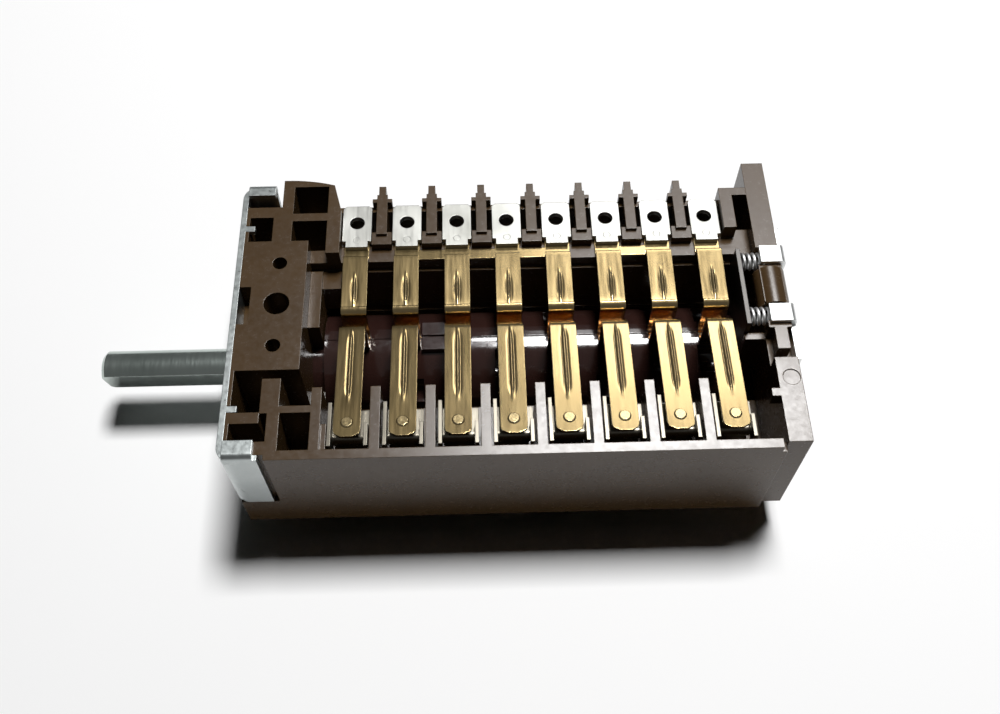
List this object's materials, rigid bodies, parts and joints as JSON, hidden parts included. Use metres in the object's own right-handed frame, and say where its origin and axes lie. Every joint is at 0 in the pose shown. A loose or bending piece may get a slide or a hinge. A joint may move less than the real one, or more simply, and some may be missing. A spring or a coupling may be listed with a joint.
{
  "type": "oven selector switch",
  "caption": "Rotary oven selector switch with a cam drum, spring contact blades in an open ribbed housing, a folded mounting plate and a long flatted shaft.",
  "frame": {"origin": "on the shaft axis, in the panel face of the mounting plate", "axes": "+X along the shaft away from the panel, +Y towards the input terminals, +Z towards the open contact side"},
  "size_m": [0.097, 0.0458, 0.0255],
  "materials": {
    "brown_thermoset": "satin",
    "dark_thermoset": "satin",
    "zinc_steel": "satin",
    "shaft_steel": "satin",
    "spring_brass": "polished",
    "tinned_copper": "satin",
    "contact_silver": "satin",
    "spring_steel": "polished"
  },
  "bodies": {
    "base": {"housing": "brown_thermoset", "rear_end_plate": "brown_thermoset", "mounting_plate": "zinc_steel", "contact_spring_1": "spring_brass", "contact_comb_2_to_5": "spring_brass", "contact_comb_6_to_7": "spring_brass", "contact_spring_8": "spring_brass", "moving_contact_rivets": "contact_silver", "fixed_contact_rivets": "contact_silver", "terminal_rivets": "tinned_copper", "input_terminal_1": "tinned_copper", "input_terminal_2": "tinned_copper", "input_terminal_3": "tinned_copper", "input_terminal_4": "tinned_copper", "input_terminal_5": "tinned_copper", "input_terminal_6": "tinned_copper", "input_terminal_7": "tinned_copper", "input_terminal_8": "tinned_copper", "fixed_contact_1": "tinned_copper", "fixed_contact_2": "tinned_copper", "fixed_contact_3": "tinned_copper", "fixed_contact_4": "tinned_copper", "fixed_contact_5": "tinned_copper", "fixed_contact_6": "tinned_copper", "fixed_contact_7": "tinned_copper", "fixed_contact_8": "tinned_copper", "detent_spring_near": "spring_steel", "detent_spring_far": "spring_steel", "rear_clip": "zinc_steel"},
    "rotor": {"shaft": "shaft_steel", "cam_drum": "dark_thermoset"},
    "detent": {"detent_plate": "spring_steel"}
  },
  "joints": [
    {"name": "selector_turn", "type": "hinge", "parent": "base", "child": "rotor", "pos_m": [0, 0, 0], "axis": [1, 0, 0], "continuous": true},
    {"name": "detent_lift", "type": "slide", "parent": "base", "child": "detent", "axis": [1, 0, 0], "range_m": [0, 0.00075], "stiffness_N_per_m": 2000, "springref_m": -0.001, "deforming": ["detent_spring_near", "detent_spring_far"]}
  ]
}
